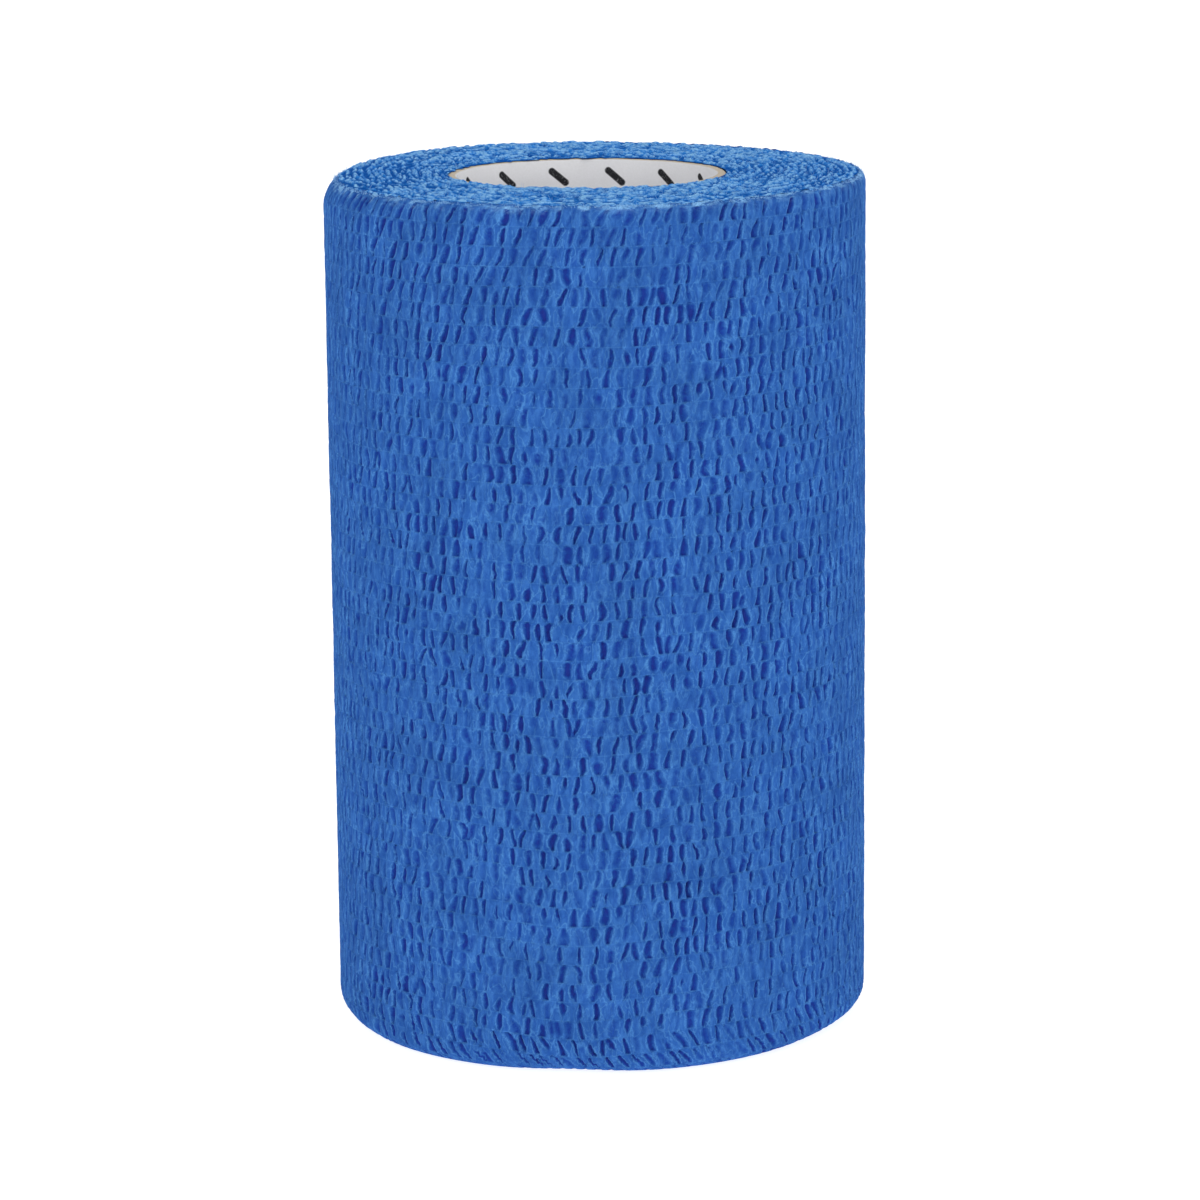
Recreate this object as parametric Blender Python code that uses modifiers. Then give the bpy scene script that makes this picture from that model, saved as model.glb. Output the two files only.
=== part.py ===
"""Cohesive bandage roll: a strip of crinkled elastic cloth wound on a paper core, standing on its end.

Units are metres. Z is the roll's axis, the floor is z = 0, and the wound cloth's outline is centred on
the origin. The strip's cut end is stuck down at the back, where it leaves a low step.
"""
import math

import bmesh
import bpy
from mathutils import Vector

# Driving dimensions
BANDAGE_WIDTH = 0.100        # width of the strip, which is the height of the roll
BASE_RADIUS = 0.0316         # mean outside radius of the winding just above the floor
TOP_RADIUS = 0.0315          # mean outside radius just under the upper rim
TURN_THICKNESS = 0.0008      # one relaxed layer of cloth, and so the step at the strip's end
CORE_RADIUS = 0.0162         # outside of the paper tube
CORE_WALL = 0.0010           # thickness of the paper tube
CORE_HEIGHT = 0.0997         # the tube stops just short of the cloth's upper edge
CORE_SHIFT = -0.0007         # the tube sits a little to one side of the winding's middle
CLEARANCE = 0.0003           # gap between the tube and the cloth

# How the strip's end lies
END_ANGLE = math.radians(100)    # where the outer turn stops, counted from +X
END_SKEW = math.radians(5)       # how far the cut edge leans over the height of the roll
END_HALF_STEP = math.radians(0.4)

# How the edges are rounded
BASE_EDGE_ROUND = 0.0025
RIM_ROUND_SHARP = 0.0013     # upper rim on the +X side
RIM_ROUND_SOFT = 0.0039      # upper rim on the -X side, where the outer turns curl inwards
HOLE_EDGE_ROUND = 0.0005
END_CROWN = 0.0002           # how far the middle turns stand above the first and last ones

# Unevenness of the upper rim: its mean rise, a tilt along X and Y, and two waves in one turn
RIM_RISE = 0.00008
RIM_TILT_X = -0.00029
RIM_TILT_Y = 0.00029
RIM_WAVE = 0.00021
RIM_WAVE_TURN = math.radians(-23)    # where one of the waves has its crest

# Mesh density
SECTIONS = 96                # sections around the winding, besides the two at the strip's end
CORNER_POINTS = 5            # points on each rounded outer edge
SIDE_SHARES = (0.25, 0.5, 0.75)
TUBE_STEPS = 72
TUBE_CHAMFER = 0.00015

CLOTH_COLOR = (0.042, 0.140, 0.440, 1.0)
CLOTH_ROUGHNESS = 0.92
PAPER_COLOR = (0.760, 0.745, 0.700, 1.0)
PAPER_ROUGHNESS = 0.80


def clear_scene():
    """Start from an empty file."""
    for old in list(bpy.data.objects):
        bpy.data.objects.remove(old, do_unlink=True)


def make_material(name, color, roughness):
    material = bpy.data.materials.new(name)
    material.use_nodes = True
    shader = material.node_tree.nodes["Principled BSDF"]
    shader.inputs["Base Color"].default_value = color
    shader.inputs["Roughness"].default_value = roughness
    shader.inputs["Metallic"].default_value = 0.0
    material.diffuse_color = color
    return material


def turn_radius(angle, mean_radius):
    """Outside of the last turn, a spiral that drops by one layer where the strip ends."""
    around = ((angle - END_ANGLE) % math.tau) / math.tau
    return mean_radius + TURN_THICKNESS * (around - 0.5)


def outline_centre():
    """Middle of the spiral's box, which is moved to the origin."""
    right, left = turn_radius(0, TOP_RADIUS), -turn_radius(math.pi, TOP_RADIUS)
    back, front = turn_radius(math.pi / 2, TOP_RADIUS), -turn_radius(-math.pi / 2, TOP_RADIUS)
    return Vector(((right + left) / 2, (back + front) / 2, 0))


def hole_radius(angle):
    """Distance from the winding's axis to the wall of the hole, which is centred on the tube."""
    radius = CORE_RADIUS + CLEARANCE
    across = CORE_SHIFT * math.sin(angle)
    return CORE_SHIFT * math.cos(angle) + math.sqrt(radius ** 2 - across ** 2)


def rim_height(angle):
    """Height of the upper rim, which is slightly tilted and wavy."""
    tilt = RIM_TILT_X * math.cos(angle) + RIM_TILT_Y * math.sin(angle)
    return BANDAGE_WIDTH + RIM_RISE + tilt + RIM_WAVE * math.cos(2 * (angle - RIM_WAVE_TURN))


def corner(centre_r, centre_z, radius, start, stop, points):
    """Points on a rounded edge, as (distance from the axis, height)."""
    arc = []
    for index in range(points):
        turn = start + (stop - start) * index / (points - 1)
        arc.append((centre_r + radius * math.cos(turn), centre_z + radius * math.sin(turn)))
    return arc


def cloth_section(angle):
    """Closed outline of the winding cut at one angle: base, outer side, upper end, hole wall."""
    quarter = math.pi / 2
    inner = hole_radius(angle)
    base = turn_radius(angle, BASE_RADIUS)
    top = turn_radius(angle, TOP_RADIUS)
    rim = rim_height(angle)
    soft_share = (1 - math.cos(angle)) / 2
    rim_round = RIM_ROUND_SHARP + (RIM_ROUND_SOFT - RIM_ROUND_SHARP) * soft_share
    hole_edge = inner + HOLE_EDGE_ROUND

    outline = corner(hole_edge, HOLE_EDGE_ROUND, HOLE_EDGE_ROUND, 2 * quarter, 3 * quarter, 3)
    outline.append(((inner + base) / 2, 0.0))
    outline += corner(base - BASE_EDGE_ROUND, BASE_EDGE_ROUND, BASE_EDGE_ROUND, -quarter, 0, CORNER_POINTS)
    for share in SIDE_SHARES:
        outline.append((base + (top - base) * share, BANDAGE_WIDTH * share))
    outline += corner(top - rim_round, rim - rim_round, rim_round, 0, quarter, CORNER_POINTS)
    for share in SIDE_SHARES:
        out = 1 - share
        height = BANDAGE_WIDTH + (rim - BANDAGE_WIDTH) * out + END_CROWN * 4 * out * (1 - out)
        outline.append((hole_edge + (top - rim_round - hole_edge) * out, height))
    outline += corner(hole_edge, BANDAGE_WIDTH - HOLE_EDGE_ROUND, HOLE_EDGE_ROUND, quarter, 2 * quarter, 3)
    outline.append((inner, BANDAGE_WIDTH / 2))
    return outline


def section_angles():
    """Even steps around the winding, with one section on each side of the strip's cut edge."""
    step = math.tau / SECTIONS
    angles = [END_ANGLE + END_HALF_STEP]
    angles += [END_ANGLE + step * index for index in range(1, SECTIONS)]
    angles.append(END_ANGLE + math.tau - END_HALF_STEP)
    return angles


def wound_cloth(material):
    """The wound strip as one solid: a loft through sections that differ all the way around."""
    mesh = bpy.data.meshes.new("bandage_roll")
    build = bmesh.new()
    rings = []
    for angle in section_angles():
        ring = []
        for radius, height in cloth_section(angle):
            place = angle + END_SKEW * (height / BANDAGE_WIDTH - 0.5)
            ring.append(build.verts.new((radius * math.cos(place), radius * math.sin(place), height)))
        rings.append(ring)
    for index, ring in enumerate(rings):
        following = rings[(index + 1) % len(rings)]
        for point in range(len(ring)):
            after = (point + 1) % len(ring)
            build.faces.new((ring[point], following[point], following[after], ring[after]))
    bmesh.ops.recalc_face_normals(build, faces=build.faces)
    build.to_mesh(mesh)
    build.free()
    mesh.shade_smooth()
    mesh.set_sharp_from_angle(angle=math.radians(40))
    mesh.materials.append(material)
    cloth = bpy.data.objects.new("bandage_roll", mesh)
    cloth.location = -outline_centre()
    return cloth


def paper_core(material):
    """The paper tube in the middle: a thin profile turned once around its own axis."""
    inner = CORE_RADIUS - CORE_WALL
    profile = [
        (CORE_RADIUS - TUBE_CHAMFER, CORE_HEIGHT),
        (CORE_RADIUS, CORE_HEIGHT - TUBE_CHAMFER),
        (CORE_RADIUS, TUBE_CHAMFER),
        (CORE_RADIUS - TUBE_CHAMFER, 0.0),
        (inner + TUBE_CHAMFER, 0.0),
        (inner, TUBE_CHAMFER),
        (inner, CORE_HEIGHT - TUBE_CHAMFER),
        (inner + TUBE_CHAMFER, CORE_HEIGHT),
    ]
    mesh = bpy.data.meshes.new("paper_core")
    points = [(radius, 0.0, height) for radius, height in profile]
    edges = [(index, (index + 1) % len(points)) for index in range(len(points))]
    mesh.from_pydata(points, edges, [])
    mesh.materials.append(material)
    tube = bpy.data.objects.new("paper_core", mesh)
    turned = tube.modifiers.new("turned", 'SCREW')
    turned.axis = 'Z'
    turned.angle = math.tau
    turned.steps = TUBE_STEPS
    turned.render_steps = TUBE_STEPS
    turned.use_merge_vertices = True
    turned.merge_threshold = 0.00001
    turned.use_smooth_shade = True
    tube.location = Vector((CORE_SHIFT, 0, 0)) - outline_centre()
    return tube


def main():
    clear_scene()
    parts = bpy.data.collections.new("cohesive_bandage_roll")
    bpy.context.scene.collection.children.link(parts)
    parts.objects.link(wound_cloth(make_material("cloth", CLOTH_COLOR, CLOTH_ROUGHNESS)))
    parts.objects.link(paper_core(make_material("paper", PAPER_COLOR, PAPER_ROUGHNESS)))


main()
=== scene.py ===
"""The looks of the cohesive bandage roll: puckered outer turn, wound ends, loose fibres and paper core.

Lengths are in metres. Z is the roll's axis and the floor is z = 0, as in the CAD frame.
"""
import math

import bpy
import numpy as np
from mathutils import Euler, Matrix, Vector


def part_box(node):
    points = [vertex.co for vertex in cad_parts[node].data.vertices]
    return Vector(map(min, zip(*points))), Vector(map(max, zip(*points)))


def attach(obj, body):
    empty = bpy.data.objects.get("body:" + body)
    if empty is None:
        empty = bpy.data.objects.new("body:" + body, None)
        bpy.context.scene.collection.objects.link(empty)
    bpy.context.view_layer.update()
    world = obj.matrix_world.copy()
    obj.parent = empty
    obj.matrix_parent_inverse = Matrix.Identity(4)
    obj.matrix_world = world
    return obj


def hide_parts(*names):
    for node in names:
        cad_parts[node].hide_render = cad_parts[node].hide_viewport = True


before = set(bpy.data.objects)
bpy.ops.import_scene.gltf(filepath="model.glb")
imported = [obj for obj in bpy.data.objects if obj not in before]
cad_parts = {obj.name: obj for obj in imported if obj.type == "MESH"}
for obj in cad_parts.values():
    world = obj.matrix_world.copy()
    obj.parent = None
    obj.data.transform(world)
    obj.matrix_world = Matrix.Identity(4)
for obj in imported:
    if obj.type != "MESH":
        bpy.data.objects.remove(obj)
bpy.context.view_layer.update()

MM = 0.001
TURN = 2 * math.pi
BODY = "root"

# ----- The roll's form, as in the CAD frame -----
roll_low, roll_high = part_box("bandage_roll")
core_low, core_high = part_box("paper_core")

WIDTH = 100.0 * MM  # width of the strip, the roll's height
LAYER = 0.8 * MM  # one relaxed turn of cloth
END_ANGLE = math.radians(100)  # where the strip's cut end lies
END_SKEW = math.radians(5)  # how far the cut end leans over the roll's height
BASE_FLARE = 0.1 * MM  # the base is this much wider than the top
BASE_ROUND = 2.5 * MM  # how the base edge is rounded
BASE_UNEVEN = (  # where that differs: side and reach in degrees, change in mm
    (-94, 12, 1.3),
    (-136, 18, -0.6),
    (-28, 16, 0.4),
)
RIM_SHARP = 1.2 * MM  # how the upper rim is rounded on the +X side,
RIM_CREASED = 0.6 * MM  # at the front,
RIM_SOFT = 4.4 * MM  # and where the outer turns curl inwards
RIM_SOFT_SIDE = math.radians(160)
RIM_ARC = math.radians(48)  # how far round the rim's curve the outer turn reaches
RIM_RISE = 0.08 * MM  # the rim's mean rise, its tilt, and its two waves in one turn
RIM_TILT_X = -0.29 * MM
RIM_TILT_Y = 0.29 * MM
RIM_WAVE = 0.21 * MM
RIM_WAVE_TURN = math.radians(-23)
END_CROWN = 0.2 * MM  # how far the middle turns stand above the first and last ones
CLEARANCE = 0.3 * MM  # gap between the core and the cloth
HOLE_ROUND = 0.5 * MM  # how the cloth's edge at the hole is rounded
LIP_REACH = 0.95 * MM  # how far the innermost turn leans over the core's edge, at the back
LIP_SIDE = math.radians(102)

CORE_CENTRE = (core_low + core_high) / 2
CORE_RADIUS = (core_high.x - core_low.x) / 2
CORE_TOP = core_high.z
CORE_WALL = 1.0 * MM
CORE_INNER = CORE_RADIUS - CORE_WALL
HOLE_RADIUS = CORE_RADIUS + CLEARANCE


def wound_share(angle):
    """How far round the last turn an angle is, from just past the strip's end (0) back to it (1)."""
    return np.mod(angle - END_ANGLE, TURN) / TURN


def spiral(angle):
    """Distance of the last turn from its mean radius."""
    return LAYER * (wound_share(angle) - 0.5)


TOP_RADIUS = (roll_high.x - roll_low.x - float(spiral(0.0) + spiral(math.pi))) / 2 - BASE_FLARE
BASE_RADIUS = TOP_RADIUS + BASE_FLARE
CENTRE_X = -float(spiral(0.0) - spiral(math.pi)) / 2
CENTRE_Y = -float(spiral(math.pi / 2) - spiral(-math.pi / 2)) / 2


def rim_height(angle):
    """Height of the upper rim, which is slightly tilted and wavy."""
    tilt = RIM_TILT_X * np.cos(angle) + RIM_TILT_Y * np.sin(angle)
    return WIDTH + RIM_RISE + tilt + RIM_WAVE * np.cos(2 * (angle - RIM_WAVE_TURN))


def near_side(angle, side, power):
    """1 at one side of the roll, falling smoothly to 0 at the other."""
    return ((1 + np.cos(angle - side)) / 2) ** power


def rim_round(angle):
    """How the upper rim is rounded at an angle."""
    soft = (RIM_SOFT - RIM_CREASED) * near_side(angle, RIM_SOFT_SIDE, 3)
    return RIM_CREASED + soft + (RIM_SHARP - RIM_CREASED) * near_side(angle, 0, 4)


def base_round(angle):
    """How the base edge is rounded, with a few places where it is pressed flatter or fuller."""
    rounding = BASE_ROUND + 0 * angle
    for side, reach, change in BASE_UNEVEN:
        away = np.mod(angle - math.radians(side) + math.pi, TURN) - math.pi
        rounding = rounding + change * MM * np.exp(-(away / math.radians(reach)) ** 2)
    return rounding


def round_fall(bend, over):
    """How far a rounded edge lies below its crest, at a share of its radius past the crest."""
    return bend * (1 - np.sqrt(1 - over ** 2))


def rim_fall(bend, inward):
    """How far the rounded rim lies below its crest, at a distance inwards from the outer turn's edge."""
    return round_fall(bend, np.clip(math.cos(RIM_ARC) - inward / bend, 0, 1))


def hole_radius(angle):
    """Distance from the winding's axis to the hole, which is centred on the paper core."""
    shift_x = CORE_CENTRE.x - CENTRE_X
    shift_y = CORE_CENTRE.y - CENTRE_Y
    along = shift_x * np.cos(angle) + shift_y * np.sin(angle)
    across = shift_y * np.cos(angle) - shift_x * np.sin(angle)
    return along + np.sqrt(HOLE_RADIUS ** 2 - across ** 2)


# ----- Helpers for noise and meshes -----
def smooth_step(value):
    """0 below 0, 1 above 1, and a soft step between."""
    value = np.clip(value, 0, 1)
    return value * value * (3 - 2 * value)


def smooth_noise(count, knots_apart, dice):
    """Values of unit size along a closed line of count samples, random at knots and smooth between."""
    knots = max(3, int(round(count / knots_apart)))
    values = dice.normal(0.0, 1.0, knots)
    place = np.arange(count) * knots / count
    first = np.floor(place).astype(int)
    share = smooth_step(place - first)
    return values[first % knots] * (1 - share) + values[(first + 1) % knots] * share


class LineNoise:
    """Smooth random values along an open line, random at knots a fixed distance apart."""

    spare = 2  # knots before the line's start

    def __init__(self, length, apart, dice):
        self.apart = apart
        self.values = dice.normal(0.0, 1.0, int(length / apart) + 4 * self.spare)

    def at(self, place):
        knot = place / self.apart + self.spare
        first = np.clip(np.floor(knot).astype(int), 0, len(self.values) - 2)
        share = smooth_step(knot - first)
        return self.values[first] * (1 - share) + self.values[first + 1] * share


class PlaneNoise:
    """Smooth random values on a closed sheet: columns wrap around, rows don't."""

    def __init__(self, rows, columns, dice):
        self.values = dice.normal(0.0, 1.0, (rows + 3, columns))

    def at(self, row_share, turn_share):
        """Both places are shares from 0 to 1 of the sheet."""
        rows, columns = self.values.shape
        row = np.clip(row_share, 0, 1) * (rows - 3) + 1
        column = np.mod(turn_share, 1.0) * columns
        below = np.floor(row).astype(int)
        left = np.floor(column).astype(int) % columns
        right = (left + 1) % columns
        up = smooth_step(row - below)
        along = smooth_step(column - np.floor(column))
        low = self.values[below, left] * (1 - along) + self.values[below, right] * along
        high = self.values[below + 1, left] * (1 - along) + self.values[below + 1, right] * along
        return low * (1 - up) + high * up


def outward(angle):
    """Level directions away from the roll's axis."""
    return np.stack([np.cos(angle), np.sin(angle), 0 * angle], -1)


def forward(angle):
    """Level directions around the roll, in the sense in which angles are counted."""
    return np.stack([-np.sin(angle), np.cos(angle), 0 * angle], -1)


def around_axis(angle, radius, height, centre=(CENTRE_X, CENTRE_Y)):
    """Points from polar coordinates about an upright axis, by default the winding's."""
    x = centre[0] + radius * np.cos(angle)
    y = centre[1] + radius * np.sin(angle)
    return np.stack(np.broadcast_arrays(x, y, height), -1)


def ring_faces(rows, columns):
    """Quads of a grid whose rows and columns both close on themselves."""
    row = np.arange(rows)[:, None]
    column = np.arange(columns)[None, :]
    following_row = (row + 1) % rows
    following = (column + 1) % columns
    corners = (
        row * columns + column,
        row * columns + following,
        following_row * columns + following,
        following_row * columns + column,
    )
    return np.stack(np.broadcast_arrays(*corners), -1).reshape(-1, 4)


def make_mesh(name, material, points, quads, values=None, normals=None):
    """A mesh object from arrays, with a float attribute for each named array in values."""
    mesh = bpy.data.meshes.new(name)
    points = np.asarray(points, np.float32).reshape(-1, 3)
    corners = quads.shape[1]
    mesh.vertices.add(len(points))
    mesh.vertices.foreach_set("co", points.ravel())
    mesh.loops.add(quads.size)
    mesh.loops.foreach_set("vertex_index", quads.ravel().astype(np.int32))
    mesh.polygons.add(len(quads))
    mesh.polygons.foreach_set("loop_start", np.arange(0, quads.size, corners, dtype=np.int32))
    mesh.update(calc_edges=True)
    mesh.validate()
    mesh.shade_smooth()
    for label, array in (values or {}).items():
        layer = mesh.attributes.new(label, "FLOAT", "POINT")
        layer.data.foreach_set("value", np.asarray(array, np.float32).ravel())
    if normals is not None:
        mesh.normals_split_custom_set_from_vertices(np.asarray(normals, np.float32).reshape(-1, 3))
    mesh.materials.append(material)
    made = bpy.data.objects.new(name, mesh)
    bpy.context.scene.collection.objects.link(made)
    return made


def grid_normals(points):
    """Vertex normals of a grid whose columns run around the roll, pointing out of it."""
    along = np.gradient(points, axis=1)
    up = np.gradient(points, axis=0)
    normal = np.cross(along, up)
    return normal / np.maximum(np.linalg.norm(normal, axis=-1, keepdims=True), 1e-12)


# ----- Materials -----
class Nodes:
    """Short calls for building a node tree. Noise scales are in cells per metre."""

    def __init__(self, name):
        self.material = bpy.data.materials.new(name)
        self.material.use_nodes = True
        self.tree = self.material.node_tree
        self.shader = self.tree.nodes["Principled BSDF"]

    def feed(self, node, inputs):
        """Links other nodes' outputs to a node, or sets constants on its sockets. None changes nothing."""
        for socket, value in inputs.items():
            if hasattr(value, "is_output"):
                self.tree.links.new(value, node.inputs[socket])
            elif value is not None:
                node.inputs[socket].default_value = value

    def add(self, kind, output, inputs, **settings):
        node = self.tree.nodes.new(kind)
        for key, value in settings.items():
            setattr(node, key, value)
        self.feed(node, inputs)
        return node.outputs[output]

    def value(self, label):
        return self.add("ShaderNodeAttribute", "Fac", {}, attribute_name=label)

    def place(self):
        return self.add("ShaderNodeTexCoord", "Object", {})

    def stretched(self, vector, scale):
        return self.add("ShaderNodeMapping", "Vector", {"Vector": vector, "Scale": scale})

    def noise(self, vector, scale, detail=3.0, roughness=0.55, distortion=0.0):
        names = ("Vector", "Scale", "Detail", "Roughness", "Distortion")
        inputs = dict(zip(names, (vector, scale, detail, roughness, distortion)))
        return self.add("ShaderNodeTexNoise", "Fac", inputs)

    def math(self, operation, first, second=0.0):
        return self.add("ShaderNodeMath", 0, {0: first, 1: second}, operation=operation)

    def times(self, first, second):
        return self.math("MULTIPLY", first, second)

    def spread(self, value, low, high, to_low=0.0, to_high=1.0, kind="LINEAR"):
        """A range of values mapped onto another one, and held at its ends."""
        names = ("Value", "From Min", "From Max", "To Min", "To Max")
        inputs = dict(zip(names, (value, low, high, to_low, to_high)))
        return self.add("ShaderNodeMapRange", 0, inputs, interpolation_type=kind)

    def blend(self, share, first, second):
        """A mix of two colours. A Mix node's sockets for them are inputs 6 and 7 and output 2."""
        return self.add("ShaderNodeMix", 2, {"Factor": share, 6: first, 7: second}, data_type="RGBA")

    def brightened(self, color, value):
        return self.add("ShaderNodeHueSaturation", "Color", {"Color": color, "Value": value})

    def relief(self, height, distance, strength=1.0, under=None):
        inputs = {"Height": height, "Distance": distance, "Strength": strength, "Normal": under}
        return self.add("ShaderNodeBump", "Normal", inputs)

    def finished(self, color, roughness, specular, normal=None):
        inputs = {"Base Color": color, "Roughness": roughness, "Specular IOR Level": specular}
        self.feed(self.shader, {**inputs, "Normal": normal})
        return self.material


BLUE = (0.0285, 0.119, 0.420, 1)  # the puckers' faces
BLUE_DIM = (0.0155, 0.077, 0.335, 1)  # random darker mottles on them, with painted shade away from their crowns
BLUE_CROWN = (0.0455, 0.167, 0.500, 1)  # where fibres stand free
BLUE_HIGHLIGHT_AND_THREAD = (0.092, 0.290, 0.655, 1)  # painted highlight on fold ridges and beside a crease, and the elastic threads' pale colour
BLUE_SLOPE_SHADE = (0.011, 0.052, 0.320, 1)  # painted shade on a crease's walls and in faint creases
BLUE_HOLLOW_SHADE = (0.019, 0.040, 0.285, 1)  # deeper painted shade at its bottom
FRAY = (0.270, 0.560, 0.910, 1)  # cut and frayed edges


def beside_crease(n, moved):
    """Distance from the nearest crease's middle, where the phase is whole, in gaps between creases."""
    phase = n.math("ADD", n.value("phase"), moved)
    return n.math("ABSOLUTE", n.math("SUBTRACT", phase, n.math("ROUND", phase)))


def crease_shares(n, place, tuft):
    """Shares of painted shade in the creases and in faint creases between them, and of painted highlight
    beside them and of the pale threads.
    """
    dark = n.value("dark")
    waver = n.noise(n.stretched(place, (1.0, 1.0, 0.6)), 1500, 2.0, 0.6)
    aside = n.math("DIVIDE", beside_crease(n, n.spread(waver, 0.25, 0.75, -0.07, 0.07)), n.value("width"))
    depth = n.times(dark, n.spread(tuft, 0.32, 0.68, 0.56, 1.26))
    # Painted shade in each crease, deepest in its middle, and where creases bridge a thread.
    dash = n.times(depth, n.spread(aside, -0.15, 1.95, 1.0, 0.0, "SMOOTHSTEP"))
    bridge = n.times(n.value("bridge"), n.spread(tuft, 0.35, 0.6, 0.4, 1.0))
    dash = n.math("MAXIMUM", dash, bridge)

    # Painted shade in faint creases between the others.
    between = beside_crease(n, n.spread(waver, 0.25, 0.75, 0.72, 0.28))
    faint_crease_shade = n.times(n.spread(between, 0.02, 0.11, 1.0, 0.0, "SMOOTHSTEP"), n.value("crown"))
    faint_crease_shade = n.times(faint_crease_shade, n.spread(n.noise(place, 520, 1.0), 0.44, 0.58, 0.0, 0.42))

    # Painted highlight along each side of a darker crease, and the elastic threads' own pale colour.
    edge = n.times(n.spread(aside, 1.30, 1.85), n.spread(aside, 2.8, 2.0))
    lip_highlight_and_thread = n.times(n.times(edge, dark), 0.8)
    broken = n.spread(n.noise(place, 330, 2.0, 0.6), 0.40, 0.60, 0.35, 1.0)
    lip_highlight_and_thread = n.math("MAXIMUM", lip_highlight_and_thread, n.times(n.value("thread"), broken))
    return dash, faint_crease_shade, lip_highlight_and_thread


def cloth_material():
    """Nonwoven elastic cloth: mottled blue with painted shade in the creases, painted highlight on their
    lips, and fine fibres in its relief.
    """
    n = Nodes("cohesive_cloth")
    place = n.place()
    upright = n.stretched(place, (1.0, 1.0, 0.45))
    wrinkle = n.noise(upright, 1250, 4.0, 0.62, 0.5)
    fibre = n.noise(place, 5200, 3.0, 0.7, 1.4)
    patch = n.noise(place, 190, 2.0, 0.5)
    tuft = n.noise(place, 1500, 3.0, 0.6, 0.6)
    fold = n.math("ABSOLUTE", n.math("SUBTRACT", n.noise(upright, 850, 2.0, 0.5, 0.4), 0.5))
    fold = n.spread(fold, 0.0, 0.030, 1.0, 0.0)
    dash, faint_crease_shade, lip_highlight_and_thread = crease_shares(n, place, tuft)

    # Random darker mottles, with painted shade away from the puckers' crowns.
    off_crown_shade = n.spread(n.value("crown"), 0.2, 0.9, 0.95, 0.40)
    color = n.blend(n.times(n.spread(wrinkle, 0.52, 0.34), off_crown_shade), BLUE, BLUE_DIM)
    color = n.blend(n.times(n.spread(wrinkle, 0.48, 0.66), 0.8), color, BLUE_CROWN)
    # Painted highlight on fold ridges and beside the creases, and the pale threads.
    color = n.blend(n.times(fold, n.spread(patch, 0.35, 0.65, 0.25, 0.55)), color, BLUE_HIGHLIGHT_AND_THREAD)
    color = n.blend(n.times(lip_highlight_and_thread, n.spread(fibre, 0.36, 0.58, 0.20, 0.85)), color, BLUE_HIGHLIGHT_AND_THREAD)
    # Painted shade in the creases: first their walls, then their bottoms.
    color = n.blend(n.math("MAXIMUM", n.spread(dash, 0.03, 0.58), faint_crease_shade), color, BLUE_SLOPE_SHADE)
    color = n.blend(n.spread(dash, 0.44, 0.92), color, BLUE_HOLLOW_SHADE)
    shade = n.math("ADD", n.spread(patch, 0.3, 0.7, -0.09, 0.07), n.spread(fibre, 0.3, 0.7, -0.11, 0.11))
    color = n.brightened(color, n.math("ADD", shade, 1.0))
    wisp = n.noise(n.stretched(place, (0.5, 0.5, 1.5)), 1500, 2.0, 0.6, 0.6)
    wisp = n.spread(wisp, 0.43, 0.55, 0.08, 1.0)
    loose = n.times(n.spread(fibre, 0.36, 0.54, 0.25, 1.0), wisp)
    color = n.blend(n.times(n.value("fray"), loose), color, FRAY)

    relief = n.relief(wrinkle, 0.16 * MM, 0.8)
    relief = n.relief(n.math("SUBTRACT", n.times(fold, 0.6), dash), 0.10 * MM, 0.6, relief)
    relief = n.relief(fibre, 0.05 * MM, 0.7, relief)
    return n.finished(color, n.spread(fibre, 0.3, 0.7, 0.82, 0.97), 0.02, relief)


CUT_BLUE = (0.025, 0.215, 0.670, 1)  # the turns' cut edges
CUT_PALE = (0.360, 0.680, 0.950, 1)  # fibres that stand up on them, partly painted highlight on the ridges' tops
CUT_HOLLOW_SHADE = (0.006, 0.102, 0.420, 1)  # painted shade in the hollows between them


def ends_material():
    """The cut edges of the turns: pale where fibres stand up, partly as painted highlight, and dark with
    painted shade between the turns.
    """
    n = Nodes("cloth_cut_edges")
    place = n.place()
    hollow = n.value("hollow")
    fibre = n.noise(place, 4200, 4.0, 0.7, 1.6)
    tuft = n.noise(place, 2200, 2.0, 0.65, 0.6)
    patch = n.noise(place, 240, 2.0, 0.5)
    # Pale fibres on the ridges' tops, partly painted highlight, and paler streaks along the turns.
    lit = n.times(n.spread(tuft, 0.48, 0.60), n.spread(hollow, 0.10, 0.60, 0.7, 0.0))
    streak = n.times(n.value("pale"), n.spread(tuft, 0.38, 0.54, 0.35, 1.0))
    lit = n.math("MAXIMUM", lit, streak)
    color = n.blend(n.times(lit, n.spread(fibre, 0.35, 0.6, 0.70, 1.0)), CUT_BLUE, CUT_PALE)
    # Painted shade in the hollows between the turns, with a ragged edge.
    uneven = n.math("ADD", hollow, n.spread(tuft, 0.3, 0.7, 0.16, -0.16))
    color = n.blend(n.spread(uneven, 0.25, 0.72), color, CUT_HOLLOW_SHADE)
    shade = n.math("ADD", n.spread(patch, 0.3, 0.7, -0.06, 0.06), n.spread(fibre, 0.3, 0.7, -0.14, 0.14))
    color = n.brightened(color, n.math("ADD", shade, 1.0))
    relief = n.relief(fibre, 0.05 * MM, 0.8, n.relief(tuft, 0.09 * MM, 0.9))
    return n.finished(color, n.spread(fibre, 0.3, 0.7, 0.85, 1.0), 0.05, relief)


FIBRE_DIM = (0.14, 0.40, 0.80, 1)
FIBRE_PALE = (0.40, 0.65, 0.94, 1)


def fibre_material():
    """Loose fibres, paler than the cloth they come from."""
    n = Nodes("loose_fibres")
    return n.finished(n.blend(n.noise(n.place(), 900, 1.0), FIBRE_DIM, FIBRE_PALE), 0.7, 0.3)


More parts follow.
